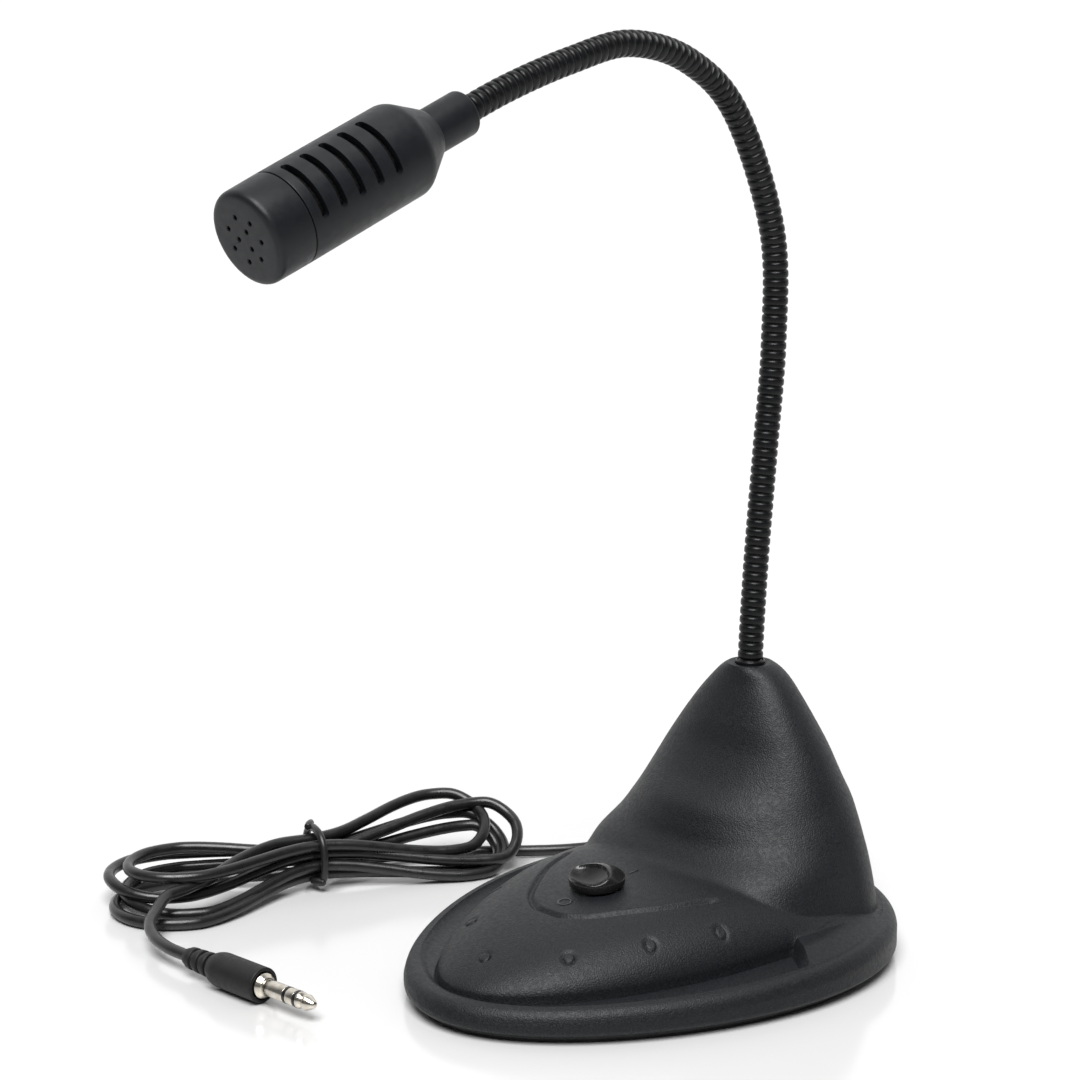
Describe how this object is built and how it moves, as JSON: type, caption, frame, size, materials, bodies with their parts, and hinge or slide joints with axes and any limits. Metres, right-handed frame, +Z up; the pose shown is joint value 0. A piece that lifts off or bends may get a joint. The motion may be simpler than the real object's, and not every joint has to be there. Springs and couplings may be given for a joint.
{
  "type": "gooseneck microphone",
  "caption": "Desktop microphone on a weighted teardrop base with a thumb slide switch, a bendable neck, a slotted cylindrical head, and a tied lead with a jack plug.",
  "frame": {"origin": "centre of the base's outline, on the underside of the anti-slip pad, which is the surface it stands on", "axes": "+Z up; the head points to -Y, in front of the base; X is across the base, and the tied lead lies on its -X side"},
  "size_m": [0.1587, 0.1773, 0.1925],
  "materials": {
    "base_plastic": "charcoal moulded plastic with a fine satin grain",
    "head_plastic": "smooth satin charcoal plastic",
    "switch_plastic": "polished black plastic",
    "neck_coating": "satin black coated wound steel tube",
    "black_rubber": "dull black rubber",
    "plug_rubber": "matte black moulded rubber",
    "cord_pvc": "glossy black flexible PVC",
    "wire_pvc": "thin black insulated wire",
    "tie_plastic": "black plastic-coated tie",
    "zinc_steel": "bright zinc plate",
    "jack_nickel": "warm nickel plate",
    "insulator_plastic": "black insulating plastic",
    "circuit_board": "green solder mask"
  },
  "bodies": {
    "base": {"base_cover": "base_plastic", "bottom_plate": "base_plastic", "anti_slip_pad": "black_rubber", "ballast_weight": "zinc_steel", "ballast_screw_1": "zinc_steel", "ballast_screw_2": "zinc_steel", "case_screw_1": "zinc_steel", "case_screw_2": "zinc_steel", "case_screw_3": "zinc_steel", "case_screw_4": "zinc_steel", "board_screw_1": "zinc_steel", "board_screw_2": "zinc_steel", "switch_board": "circuit_board", "switch_can": "zinc_steel", "cord_signal_lead": "wire_pvc", "neck_signal_lead": "wire_pvc", "neck_socket": "zinc_steel", "neck_washer": "zinc_steel", "neck_nut": "zinc_steel", "neck_root": "neck_coating", "cord_grommet": "black_rubber", "cord_lead": "cord_pvc", "cord_hank": "cord_pvc", "cord_tie": "tie_plastic", "cord_tail": "cord_pvc", "plug_relief": "plug_rubber", "plug_body": "plug_rubber", "jack_flange": "jack_nickel", "jack_sleeve": "jack_nickel", "jack_insulator_1": "insulator_plastic", "jack_ring": "jack_nickel", "jack_insulator_2": "insulator_plastic", "jack_tip": "jack_nickel"},
    "switch": {"switch_slider": "switch_plastic", "switch_knob": "switch_plastic"},
    "neck_1": {"neck_link_1": "neck_coating"},
    "neck_2": {"neck_link_2": "neck_coating"},
    "neck_3": {"neck_link_3": "neck_coating"},
    "neck_4": {"neck_link_4": "neck_coating"},
    "neck_5": {"neck_link_5": "neck_coating"},
    "neck_6": {"neck_link_6": "neck_coating"},
    "neck_7": {"neck_link_7": "neck_coating"},
    "neck_8": {"neck_link_8": "neck_coating"},
    "head": {"neck_tip": "neck_coating", "head_collar": "head_plastic", "head_body": "head_plastic", "head_cap": "head_plastic", "slot_liner": "black_rubber", "capsule_boot": "black_rubber", "electret_capsule": "jack_nickel", "capsule_lead": "wire_pvc"}
  },
  "joints": [
    {"name": "switch_slide", "type": "slide", "parent": "base", "child": "switch", "axis": [0, 0.9961, 0.0887], "range_m": [-0.0015, 0.0015]},
    {"name": "neck_bend_1", "type": "hinge", "parent": "base", "child": "neck_1", "pos_m": [0, 0.03294, 0.066], "axis": [1, 0, 0], "range_deg": [-12, 12]},
    {"name": "neck_sway_2", "type": "hinge", "parent": "neck_1", "child": "neck_2", "pos_m": [0, 0.03468, 0.0886], "axis": [0, -0.9953, 0.0972], "range_deg": [-12, 12]},
    {"name": "neck_bend_3", "type": "hinge", "parent": "neck_2", "child": "neck_3", "pos_m": [0, 0.03698, 0.11116], "axis": [1, 0, 0], "range_deg": [-12, 12]},
    {"name": "neck_bend_4", "type": "hinge", "parent": "neck_3", "child": "neck_4", "pos_m": [0, 0.03853, 0.13377], "axis": [1, 0, 0], "range_deg": [-12, 12]},
    {"name": "neck_sway_5", "type": "hinge", "parent": "neck_4", "child": "neck_5", "pos_m": [0, 0.03527, 0.15602], "axis": [0, -0.9379, -0.3469], "range_deg": [-12, 12]},
    {"name": "neck_bend_6", "type": "hinge", "parent": "neck_5", "child": "neck_6", "pos_m": [0, 0.02472, 0.17599], "axis": [1, 0, 0], "range_deg": [-12, 12]},
    {"name": "neck_bend_7", "type": "hinge", "parent": "neck_6", "child": "neck_7", "pos_m": [0, 0.00587, 0.188], "axis": [1, 0, 0], "range_deg": [-12, 12]},
    {"name": "neck_sway_8", "type": "hinge", "parent": "neck_7", "child": "neck_8", "pos_m": [0, -0.01649, 0.18825], "axis": [0, 0.2301, -0.9732], "range_deg": [-12, 12]},
    {"name": "neck_bend_9", "type": "hinge", "parent": "neck_8", "child": "head", "pos_m": [0, -0.03839, 0.18244], "axis": [1, 0, 0], "range_deg": [-12, 12]}
  ]
}
